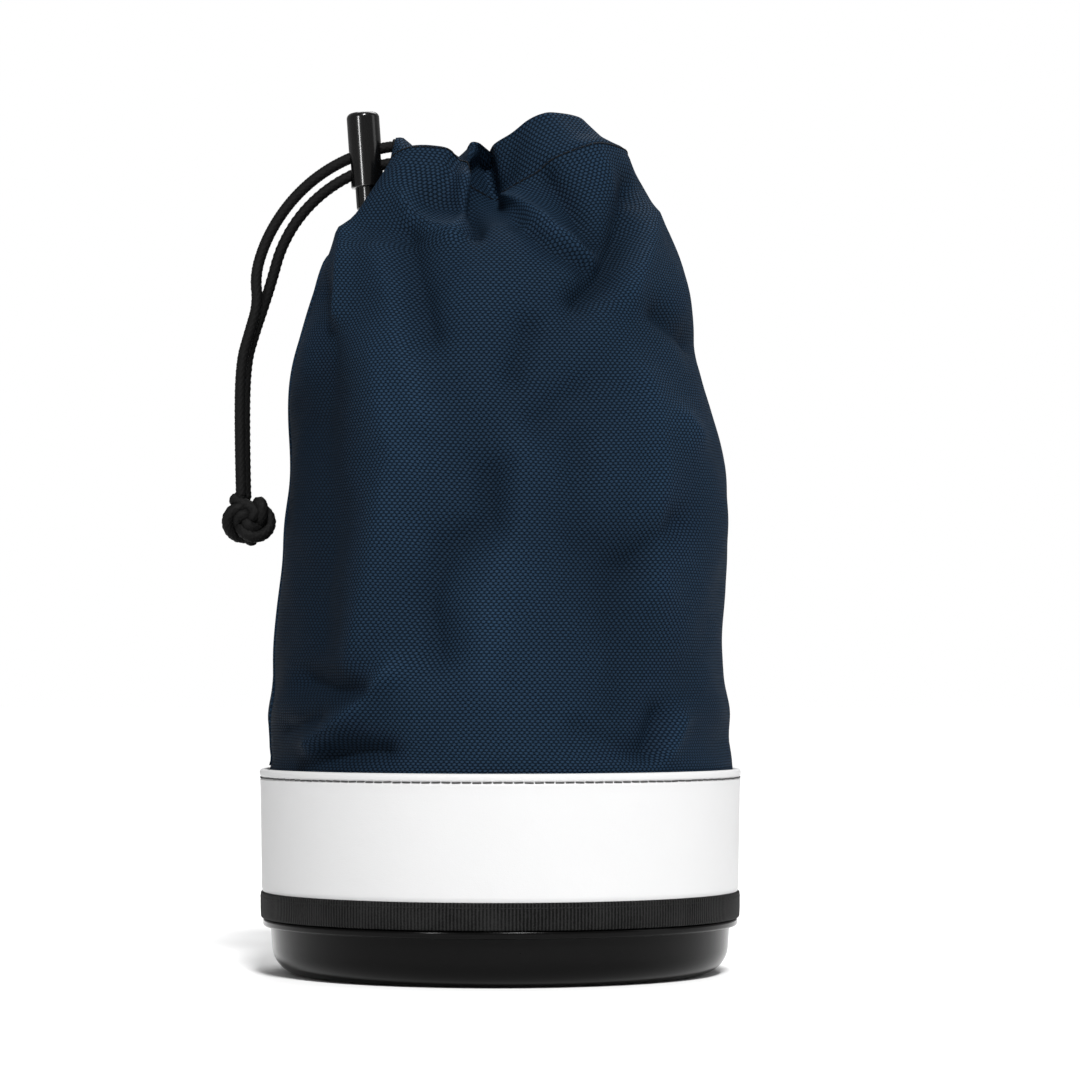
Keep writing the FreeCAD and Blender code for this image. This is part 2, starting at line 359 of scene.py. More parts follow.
def drawn_wire():
    shader = Shader("drawn_spring_wire", Metallic=1.0)
    place = shader.coordinates("Object")
    marks = shader.noise(place, 1500.0, 2.0)
    return shader.finished(shader.mix(marks, grey(0.42), grey(0.62)), 0.25 + marks * 0.2)


def stiffener_sheet():
    shader = Shader("grey_stiffener_sheet", Specular_IOR_Level=0.4)
    place = shader.coordinates("Object")
    fine = shader.noise(place, 500.0, 3.0)
    return shader.finished(shader.mix(fine, grey(0.05), grey(0.08)),
                           0.5 + fine * 0.2, shader.bump(fine, 0.05 * mm, 0.4))


# ---- mesh helpers ----

def finish_piece(piece, material, slot, body, *nodes):
    piece.data.materials.clear()
    piece.data.materials.append(material)
    if nodes:
        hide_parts(*nodes)
    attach(piece, body)


def smooth(piece):
    deselect()
    piece.select_set(True)
    bpy.context.view_layer.objects.active = piece
    sharpest = 35.0             # degrees between faces that still blend
    bpy.ops.object.shade_smooth_by_angle(angle=math.radians(sharpest))


def lathe(name, outline, steps=288):
    """Turn a closed outline of (radius, height, rounding) about Z."""
    deselect()
    bpy.ops.mesh.primitive_plane_add(size=1 * mm, location=(0, 0, 0))
    piece = bpy.context.active_object
    piece.name = name
    piece.data.name = name
    bpy.ops.object.mode_set(mode="EDIT")
    bpy.ops.mesh.merge(type="CENTER")
    radius, height, _ = outline[0]
    bpy.ops.transform.translate(value=(radius * mm, 0, height * mm))
    for (r0, z0, _), (r1, z1, _) in zip(outline, outline[1:] + outline[:1]):
        bpy.ops.mesh.extrude_region_move(
            TRANSFORM_OT_translate={"value": ((r1 - r0) * mm, 0, (z1 - z0) * mm)})
    bpy.ops.mesh.select_all(action="SELECT")
    bpy.ops.mesh.remove_doubles(threshold=0.001 * mm)
    for r, z, rounding in outline:
        if rounding:
            select_vertices(piece, lambda co: (co - Vector((r * mm, 0, z * mm))).length < 0.01 * mm)
            bpy.ops.mesh.bevel(offset=rounding * mm, segments=8, affect="VERTICES", offset_type="OFFSET")
    bpy.ops.mesh.select_all(action="SELECT")
    bpy.ops.mesh.spin(steps=steps, angle=2 * math.pi, center=(0, 0, 0), axis=(0, 0, 1))
    bpy.ops.mesh.select_all(action="SELECT")
    bpy.ops.mesh.remove_doubles(threshold=0.005 * mm)
    bpy.ops.mesh.normals_make_consistent(inside=False)
    bpy.ops.object.mode_set(mode="OBJECT")
    smooth(piece)
    return piece


def select_vertices(piece, test):
    bpy.ops.mesh.select_all(action="DESELECT")
    shape = bmesh.from_edit_mesh(piece.data)
    for vertex in shape.verts:
        vertex.select_set(test(vertex.co))
    shape.select_flush(True)
    bmesh.update_edit_mesh(piece.data)


def mesh_piece(name, points, faces):
    mesh = bpy.data.meshes.new(name)
    mesh.from_pydata([tuple(p) for p in points], [], [tuple(int(i) for i in f) for f in faces])
    mesh.update()
    piece = bpy.data.objects.new(name, mesh)
    bpy.context.scene.collection.objects.link(piece)
    return piece


def grid_faces(rows, columns, closed):
    """Faces of a grid of points, row by row; closed joins the last column to the first."""
    faces = []
    for row in range(rows - 1):
        for column in range(columns if closed else columns - 1):
            after = (column + 1) % columns
            faces.append((row * columns + column, row * columns + after,
                          (row + 1) * columns + after, (row + 1) * columns + column))
    return faces


def copies(name, source, places):
    """One piece made of a copy of source at each place, a 4 x 4 matrix."""
    count = len(source.data.vertices)
    shape = np.array([v.co for v in source.data.vertices])
    faces = [tuple(p.vertices) for p in source.data.polygons]
    points = []
    all_faces = []
    for index, place in enumerate(places):
        points.append(shape @ place[:3, :3].T + place[:3, 3])
        all_faces += [tuple(i + index * count for i in face) for face in faces]
    bpy.data.objects.remove(source)
    return mesh_piece(name, np.concatenate(points), all_faces)


def one_stitch(length, diameter):
    """A stitch lying along X, with its ends drawn down into the cloth."""
    deselect()
    bpy.ops.mesh.primitive_cylinder_add(vertices=8, radius=diameter / 2 * mm, depth=length * mm,
                                        rotation=(0, math.pi / 2, 0))
    stitch = bpy.context.active_object
    bpy.ops.object.transform_apply(location=True, rotation=True, scale=True)
    bpy.ops.object.mode_set(mode="EDIT")
    for end in (-1, 1):
        select_vertices(stitch, lambda co: co.x * end > 0)
        bpy.ops.transform.resize(value=(0.8, 0.75, 0.75), center_override=(end * length / 2 * mm, 0, 0))
        bpy.ops.mesh.extrude_region_move(
            TRANSFORM_OT_translate={"value": (end * 0.35 * diameter * mm, 0, -0.55 * diameter * mm)})
        bpy.ops.transform.resize(value=(0.5, 0.6, 0.6))
    bpy.ops.object.mode_set(mode="OBJECT")
    return stitch


def placement(origin, along, up):
    """4 x 4 matrix with X along, Z up as near as it can be."""
    x = along / np.linalg.norm(along)
    y = np.cross(up, x)
    y /= np.linalg.norm(y)
    place = np.eye(4)
    place[:3, 0] = x
    place[:3, 1] = y
    place[:3, 2] = np.cross(x, y)
    place[:3, 3] = origin
    return place


def ring_stitches(name, radius, height, pitch, length, diameter):
    """A row of stitches round the band."""
    count = round(2 * math.pi * radius / pitch)
    slant = 0.05
    wander = 0.08
    rng = np.random.default_rng(7)
    places = []
    for index in range(count):
        turn = 2 * math.pi * index / count
        out = np.array([math.cos(turn), math.sin(turn), 0.0])
        along = np.array([-math.sin(turn), math.cos(turn), rng.uniform(-slant, slant)])
        origin = out * radius * mm + np.array([0, 0, (height + rng.uniform(-wander, wander)) * mm])
        places.append(placement(origin, along, out))
    return copies(name, one_stitch(length, diameter), places)


# ---- drawcord ----

arc_centre = np.array([-35.0, 0.0, 265.0])
upper_arc = 63.0
lower_arc = 56.5
arc_step = 12               # degrees between the corners of an arc


def arc_points(radius):
    """The first points of a tail: its start in the hem, then corners round the arc's centre."""
    start = math.radians(2.0)
    side = 1 if radius == lower_arc else -1
    mouth = arc_centre + radius * np.array([-math.sin(start), 0, math.cos(start)])
    points = [mouth + np.array([3.0, 2.0 * side, -3.6]), mouth + np.array([-2.0, 0.6 * side, -0.9])]
    corner = radius / math.cos(math.radians(arc_step / 2))
    for degrees in range(8, 60, arc_step):
        turn = math.radians(degrees)
        points.append(arc_centre + corner * np.array([-math.sin(turn), 0, math.cos(turn)]))
    return points


upper_tail_points = arc_points(upper_arc) + [
    (-93.9, -0.5, 288.7),
    (-97.5, -1.6, 276.0),
    (-96.2, -2.4, 264.5),
    (-99.6, -2.4, 253.0),
    (-103.0, -2.3, 241.0),
    (-103.4, -2.3, 215.0),
    (-102.6, -2.3, 187.5),
]

lower_tail_points = arc_points(lower_arc) + [
    (-87.7, 0.5, 286.2),
    (-90.8, 1.6, 275.0),
    (-94.3, 2.4, 264.0),
    (-98.0, 2.4, 253.0),
    (-101.4, 2.3, 241.0),
    (-101.9, 2.3, 215.0),
    (-101.2, 2.3, 187.5),
]


def distances(points):
    """How far along a line each of its points is."""
    return np.concatenate([[0], np.cumsum(np.linalg.norm(np.diff(points, axis=0), axis=1))])


def spline_points(points, step):
    """Evenly spaced points of the smooth curve that the control points make, in metres."""
    curve = bpy.data.curves.new("route", "CURVE")
    curve.dimensions = "3D"
    curve.resolution_u = 24
    spline = curve.splines.new("NURBS")
    spline.points.add(len(points) - 1)
    for control, place in zip(spline.points, points):
        control.co = (place[0] * mm, place[1] * mm, place[2] * mm, 1.0)
    spline.order_u = 3
    spline.use_endpoint_u = True
    route = bpy.data.objects.new("route", curve)
    bpy.context.scene.collection.objects.link(route)
    bpy.context.view_layer.update()
    line = bpy.data.meshes.new_from_object(route)
    found = np.array([v.co for v in line.vertices])
    bpy.data.objects.remove(route)
    bpy.data.meshes.remove(line)
    run = distances(found)
    count = max(4, round(run[-1] / step))
    even = np.linspace(0, run[-1], count)
    return np.stack([np.interp(even, run, found[:, axis]) for axis in range(3)], axis=1)


def tube_frames(path):
    """Two directions across the path at each of its points, without twist."""
    along = np.gradient(path, axis=0)
    along /= np.linalg.norm(along, axis=1)[:, None]
    side = np.cross(along[0], [0.0, 1.0, 0.02])
    sides = []
    for direction in along:
        side = side - direction * np.dot(side, direction)
        side /= np.linalg.norm(side)
        sides.append(side)
    sides = np.array(sides)
    return sides, np.cross(along, sides)


def braided_tube(name, path, diameter):
    """A braided cord along a path, with rounded ends: diamonds of crossing strands stand out of it."""
    around = 32
    carriers = 8
    braid_length = 2.6 * mm
    relief = 0.10               # of the radius
    crown = 1.6                 # a diamond's height over the relief
    fullness = 0.6              # less is a fuller diamond
    cap_length = diameter * 0.35
    sides, ups = tube_frames(path)
    run = distances(path)
    turn = np.arange(around) / around * 2 * math.pi
    left = carriers / 2 * turn[None, :] + math.pi * run[:, None] / braid_length
    right = carriers / 2 * turn[None, :] - math.pi * run[:, None] / braid_length
    diamonds = np.abs(np.sin(left) * np.sin(right)) ** fullness
    radius = diameter / 2 * (1 - relief + relief * crown * diamonds)
    end = np.minimum(run, run[-1] - run) / cap_length
    radius = radius * np.sqrt(np.clip(1 - (1 - np.clip(end, 0, 1)) ** 2, 0.02, 1))[:, None]
    rings = (path[:, None, :] + radius[:, :, None] * (
        np.cos(turn)[None, :, None] * sides[:, None, :] + np.sin(turn)[None, :, None] * ups[:, None, :]))
    rows = len(path)
    points = np.concatenate([rings.reshape(-1, 3), path[:1], path[-1:]])
    faces = grid_faces(rows, around, True)
    for column in range(around):
        after = (column + 1) % around
        faces.append((rows * around, after, column))
        faces.append((rows * around + 1, (rows - 1) * around + column, (rows - 1) * around + after))
    piece = mesh_piece(name, points, faces)
    deselect()
    bpy.context.view_layer.objects.active = piece
    piece.select_set(True)
    bpy.ops.object.mode_set(mode="EDIT")
    bpy.ops.mesh.select_all(action="SELECT")
    bpy.ops.mesh.normals_make_consistent(inside=False)
    bpy.ops.object.mode_set(mode="OBJECT")
    piece.data.shade_smooth()
    return piece


def knot_path(side):
    """One strand of the doubled overhand knot; the two lie side by side, side being -1 or 1."""
    centre = [(low + high) / 2 for low, high in zip(knot_low, knot_high)]
    start, end = 0.08, 0.965    # of the whole turn, because the knot is open at its ends
    count = 30
    mean_reach, lobe, depth = 4.7, 2.2, 3.7
    apart = 1.95                # from the middle of the pair to each strand
    taller = 1.02
    points = []
    for index in range(count):
        turn = 2 * math.pi * (start + (end - start) * index / (count - 1))
        reach = mean_reach + lobe * math.cos(3 * turn) + side * apart
        x = -reach * math.sin(2 * turn)
        z = reach * math.cos(2 * turn) * taller
        y = math.sin(3 * turn) * depth
        points.append((centre[0] + x, centre[1] + y, centre[2] + z))
    entry = [(-102.0 + side * 0.7, side * 2.3, 190.0), (-102.2 + side * 1.2, side * 1.9, 187.6)]
    ends = {-1: (-107.2, -2.5, 187.6), 1: (-99.4, 1.5, 168.6)}
    return spline_points(entry + points + [ends[side]], 0.4 * mm)


def add_drawcord(material):
    step = 0.42 * mm
    loosened = 1.12             # the strands swell a little in the knot
    strands = [braided_tube("knot_strand", knot_path(side), cord_diameter * mm * loosened)
               for side in (-1, 1)]
    deselect()
    for strand in strands:
        strand.select_set(True)
    bpy.context.view_layer.objects.active = strands[0]
    bpy.ops.object.join()
    knot = bpy.context.active_object
    knot.name = "end_knot_cord"
    knot.data.name = knot.name
    finish_piece(knot, material, "black_cord", "bag", "end_knot")
    for name, points in (("upper", upper_tail_points), ("lower", lower_tail_points)):
        path = spline_points(points, step)
        tail = braided_tube("drawcord_%s_tail" % name, path, cord_diameter * mm)
        finish_piece(tail, material, "black_cord", "bag", "drawcord_tail_%s" % name)
        [knot] if name == "upper" else []


# ---- base and band ----

def add_base_cup(material):
    wall = 90.5
    lip = 93.6
    lip_bottom = 18.8
    collar = 89.6
    collar_inside = collar - 2.6
    floor_top = 3.0
    axis = 0.01                 # the outline starts and ends just off the axis
    cup = lathe("moulded_base_cup", [
        (axis, 0.0, 0), (wall - 12.0, 0.0, 0), (wall - 1.2, 1.2, 9.0), (wall, lip_bottom, 0.4),
        (lip, lip_bottom + 0.1, 1.1), (lip, tape_bottom, 1.1), (collar, tape_bottom, 0),
        (collar, cup_top, 0.6), (collar_inside, cup_top, 0.6), (collar_inside, floor_top, 8.0),
        (axis, floor_top, 0),
    ])
    finish_piece(cup, material, "base_plastic", "bag", "base_cup")


def add_band(material):
    foot = band_radius - 0.9
    stitches = band_top - band_fold
    under_tape = tape_top - 6.0
    band = lathe("leatherette_band", [
        (fabric_radius + 0.05, under_tape, 0), (foot - 0.8, under_tape, 0),
        (foot - 0.5, tape_top - 0.4, 0), (foot, tape_top + 1.4, 0.6),
        (band_radius - 0.35, stitches - 3.0, 2.0), (band_radius - 0.15, stitches - 0.9, 0.4),
        (band_radius - 0.75, stitches, 0.3), (band_radius - 0.1, stitches + 0.8, 0.4),
        (band_radius + 0.05, band_top - 0.2, 1.3), (fabric_radius + 0.3, band_top - 0.1, 1.1),
        (fabric_radius + 0.05, stitches, 0),
    ], 360)
    finish_piece(band, material, "white_leatherette", "bag", "band_cover")


def add_binding(material):
    outer = band_radius - 0.4
    tape = lathe("ribbed_binding_tape", [
        (fabric_radius - 0.2, tape_bottom + 0.05, 0.3), (outer - 0.2, tape_bottom + 0.05, 0.8),
        (outer + 0.1, (tape_bottom + tape_top) / 2, 3.0), (outer - 0.1, tape_top, 0.8),
        (outer - 1.6, tape_top, 0),
    ], 360)
    finish_piece(tape, material, "black_tape", "bag", "binding_tape")


def add_stitch_rows(band_thread, tape_thread):
    row = ring_stitches("band_stitch_row", band_radius - 0.35, band_top - band_fold,
                        pitch=3.9, length=3.1, diameter=0.62)
    finish_piece(row, band_thread, "dark_thread", "bag", "band_stitching")
    row = ring_stitches("binding_stitch_row", band_radius - 0.45, tape_top - 2.0,
                        pitch=3.2, length=2.5, diameter=0.5)
    finish_piece(row, tape_thread, "dark_thread", "bag", "binding_stitching")


# ---- fabric bag ----

# Outline of the tube seen from the front: height and half width at the left, then at the right.
left_outline = [
    (24, 92.0), (60, 92.0), (74, 92.0), (79, 91.8), (83, 90.0), (90, 90.3), (101, 91.9),
    (112, 90.6), (127, 89.4), (150, 86.1), (175, 85.0), (205, 83.5), (234, 82.4), (246, 80.6),
    (264, 75.6), (282, 70.0), (292, 65.8), (300, 61.5),
]
right_outline = [
    (24, 92.0), (60, 92.0), (74, 92.0), (79, 92.0), (83, 91.6), (90, 90.2), (103, 90.6),
    (114, 88.9), (128, 88.0), (152, 89.2), (175, 90.3), (192, 89.3), (205, 87.4), (222, 83.4),
    (238, 79.6), (252, 77.8), (264, 76.2), (276, 73.3), (290, 67.5), (300, 63.4),
]

# Half depth of the tube at each height.
depth_outline = [
    (24, 92.0), (60, 92.0), (74, 92.0), (79, 92.0), (88, 91.6), (103, 90.5), (150, 86.0),
    (198, 80.0), (246, 70.0), (270, 62.0), (286, 53.0), (300, 42.5),
]

# Round the mouth, from the lock at the left past the front: place round the tube, then the
# foot of the hem and its top edge.
mouth_keys = [
    (0.000, (-44.5, 0, 308), (-41.0, 0, 330.6)),
    (0.030, (-46.5, -10, 312), (-40, -7, 326.2)),
    (0.060, (-43, -17, 320.0), (-37, -10, 322.6)),
    (0.095, (-35.5, -21, 323.6), (-31, -11, 322.6)),
    (0.130, (-26.5, -22, 323.9), (-24, -11, 322.6)),
    (0.160, (-19.5, -21.5, 323.4), (-18.5, -11, 322.0)),
    (0.180, (-15.8, -19, 320), (-15.8, -10, 321.0)),
    (0.200, (-12.5, -25, 318.0), (-12, -18, 326.4)),
    (0.218, (-8.5, -24, 313), (-8, -16.5, 325.8)),
    (0.234, (-5, -18, 308.5), (-6, -6, 322.5)),
    (0.250, (-1.5, -14, 305.0), (-5.5, -3, 322.6)),
    (0.266, (2.0, -21, 306.0), (-3.0, -11, 326.4)),
    (0.285, (6, -28, 309.0), (4.0, -17, 330.0)),
    (0.315, (12, -32, 313.0), (11.0, -21, 334.8)),
    (0.350, (19, -33, 317.8), (18.0, -21, 337.6)),
    (0.385, (28, -31, 321.6), (27.0, -17, 337.4)),
    (0.420, (38, -26, 325.2), (34, -9, 334.6)),
    (0.455, (45.0, -17, 325.2), (38.5, -1, 330.0)),
    (0.490, (49.5, -6, 324.6), (40.5, 7, 327.5)),
    (0.525, (51.5, 8, 323), (40, 13, 327)),
    (0.560, (46, 20, 318), (36, 16, 328)),
    (0.590, (37, 24, 314), (30, 11, 322)),
    (0.625, (31, 31, 313), (25, 22, 328)),
    (0.660, (21, 29, 310), (18, 12, 321)),
    (0.695, (14, 34, 311), (12, 23, 326)),
    (0.730, (5, 30, 308), (5, 12, 319)),
    (0.765, (-3, 34, 309), (-2, 23, 325)),
    (0.800, (-11, 29, 307), (-9, 12, 318)),
    (0.835, (-19, 32, 309), (-17, 21, 324)),
    (0.870, (-27, 26, 307), (-23, 11, 318)),
    (0.905, (-35, 25, 308), (-31, 15, 322)),
    (0.940, (-42, 18, 307), (-37, 9, 320)),
    (0.970, (-46, 10, 308), (-40, 6, 326.5)),
]

# Folds of the front: the line each follows in x and z, its half width and its height.
# A negative height is a valley.
front_folds = [
    ([(-59.8, 290), (-63.7, 258)], 4.5, 4.0),
    ([(-70, 268), (-66, 240), (-70, 215)], 7.0, -3.5),
    ([(-36.4, 289), (-31.4, 268), (-26.1, 247)], 8.0, -5.5),
    ([(-48, 280), (-42, 262), (-38, 240), (-30, 215)], 7.0, 2.8),
    ([(11.2, 249), (5.1, 231)], 6.0, -3.6),
    ([(31.2, 227), (15.0, 215)], 9.0, -3.2),
    ([(-3.2, 193), (-3.2, 175), (-20, 165), (-26.5, 145), (-22.7, 126)], 8.5, -4.4),
    ([(8, 200), (6, 170), (-6, 145), (-6, 115)], 9.0, 2.4),
    ([(30, 205), (31, 170)], 10.0, -3.4),
    ([(68, 176), (52.5, 160)], 7.0, -4.2),
    ([(45, 160), (46, 106)], 14.0, -3.6),
    ([(-47.3, 240), (-39.8, 202), (-43.5, 176), (-50, 146), (-56, 120)], 11.0, 4.2),
    ([(-68, 205), (-66, 170), (-70, 130)], 10.0, -3.8),
    ([(56, 232), (63, 200), (62, 150)], 7.0, 2.6),
    ([(4.4, 303), (11.3, 297), (21, 288), (37, 280)], 3.8, 5.0),
    ([(18.4, 311), (28.8, 299), (37.3, 286)], 6.5, -5.5),
    ([(7.5, 293), (19, 283), (34, 277)], 5.0, -5.0),
    ([(54.7, 312), (50.9, 299), (47, 284), (41.5, 272), (31, 262)], 6.0, -7.0),
    ([(62, 300), (58, 282), (52, 266)], 5.0, 3.0),
    ([(-37.7, 304), (-34.2, 296), (-26.5, 290), (-20.7, 288)], 3.5, 3.6),
    ([(-29.2, 304), (-11.8, 299)], 6.5, -4.5),
    ([(-13, 312), (-13.5, 298), (-17, 286)], 3.0, 2.6),
    ([(-7.9, 318), (-7.2, 305), (-8.5, 288)], 2.6, -4.8),
    ([(-71, 91), (-54, 103), (-40, 118)], 4.5, 5.0),
    ([(-64, 87), (-43.5, 88)], 5.5, -5.5),
    ([(-76, 116), (-51.5, 111)], 6.0, -5.0),
    ([(-84, 97), (-70, 101)], 3.5, -3.0),
    ([(62, 102), (58, 87)], 5.0, -4.0),
    ([(70.5, 100), (64.0, 87)], 4.0, 3.6),
    ([(71, 216), (76, 210)], 6.0, 3.4),
    ([(64, 258), (77, 248), (90, 246)], 5.5, -5.5),
    ([(30, 97), (44, 92), (52, 88)], 5.0, -2.2),
]


def hermite(f, span, low, low_slope, high, high_slope):
    """Smooth step between two values with given slopes, f of the way along span."""
    return ((2 * f**3 - 3 * f**2 + 1) * low + (f**3 - 2 * f**2 + f) * span * low_slope
            + (3 * f**2 - 2 * f**3) * high + (f**3 - f**2) * span * high_slope)


def along_outline(outline, heights):
    """Smooth curve through an outline's points, at the given heights."""
    z = np.array([p[0] for p in outline], float)
    r = np.array([p[1] for p in outline], float)
    slope = np.gradient(r, z)
    index = np.clip(np.searchsorted(z, heights, side="right") - 1, 0, len(z) - 2)
    span = z[index + 1] - z[index]
    f = (heights - z[index]) / span
    return hermite(f, span, r[index], slope[index], r[index + 1], slope[index + 1])


def round_mouth(keys, places):
    """Closed smooth curve through points given at places round the tube."""
    at = np.array([k[0] for k in keys])
    points = np.array([k[1] for k in keys], float)
    at = np.concatenate([at[-2:] - 1, at, at[:3] + 1])
    points = np.concatenate([points[-2:], points, points[:3]])
    slackness = 0.85
    slope = np.stack([np.gradient(points[:, axis], at) for axis in range(3)], axis=1) * slackness
    index = np.clip(np.searchsorted(at, places, side="right") - 1, 0, len(at) - 2)
    span = (at[index + 1] - at[index])[:, None]
    f = (places - at[index])[:, None] / span
    return hermite(f, span, points[index], slope[index], points[index + 1], slope[index + 1])


def fade(values, start, end):
    """0 up to start, 1 from end on, and even in between; start may be the larger."""
    return np.clip((values - start) / (end - start), 0, 1)


def fold_relief(x, z, folds):
    """Height of all folds at points of the cloth seen from one side."""
    swell = 1.18                # of the stated heights
    sharpness = 1.45            # 1 is a crease, 2 a round fold
    total = np.zeros_like(x)
    for path, half_width, height in folds:
        nearest = np.full_like(x, 1e9)
        for (x0, z0), (x1, z1) in zip(path, path[1:]):
            dx, dz = x1 - x0, z1 - z0
            f = np.clip(((x - x0) * dx + (z - z0) * dz) / (dx * dx + dz * dz), 0, 1)
            nearest = np.minimum(nearest, np.hypot(x - x0 - f * dx, z - z0 - f * dz))
        total += swell * height * np.exp(-(nearest / half_width) ** sharpness)
    return total


def small_wrinkles(points):
    """Slight unevenness of stiff cloth, mostly running up and down."""
    x, y, z = np.moveaxis(points, 2, 0)
    turn = np.arctan2(y, x)
    total = np.zeros_like(x)
    rng = np.random.default_rng(11)
    for waves, rise, size in ((3, 150, 0.9), (5, 95, 0.7), (8, 70, 0.5), (13, 46, 0.32), (19, 30, 0.2)):
        start = rng.uniform(0, 2 * math.pi, 3)
        total += size * (np.sin(waves * turn + start[0] + 0.8 * np.sin(z / rise + start[2]))
                         * np.sin(2 * math.pi * z / rise + start[1]))
    return total


def grid_normals(points):
    around = np.roll(points, -1, axis=1) - np.roll(points, 1, axis=1)
    up = np.gradient(points, axis=0)
    normals = np.cross(around, up)
    return normals / np.maximum(np.linalg.norm(normals, axis=2, keepdims=True), 1e-9)


def with_neighbours(values, reach):
    """Values round the tube with those of their neighbours, along a new first axis."""
    return np.array([np.roll(values, step, axis=0) for step in range(-reach, reach + 1)])


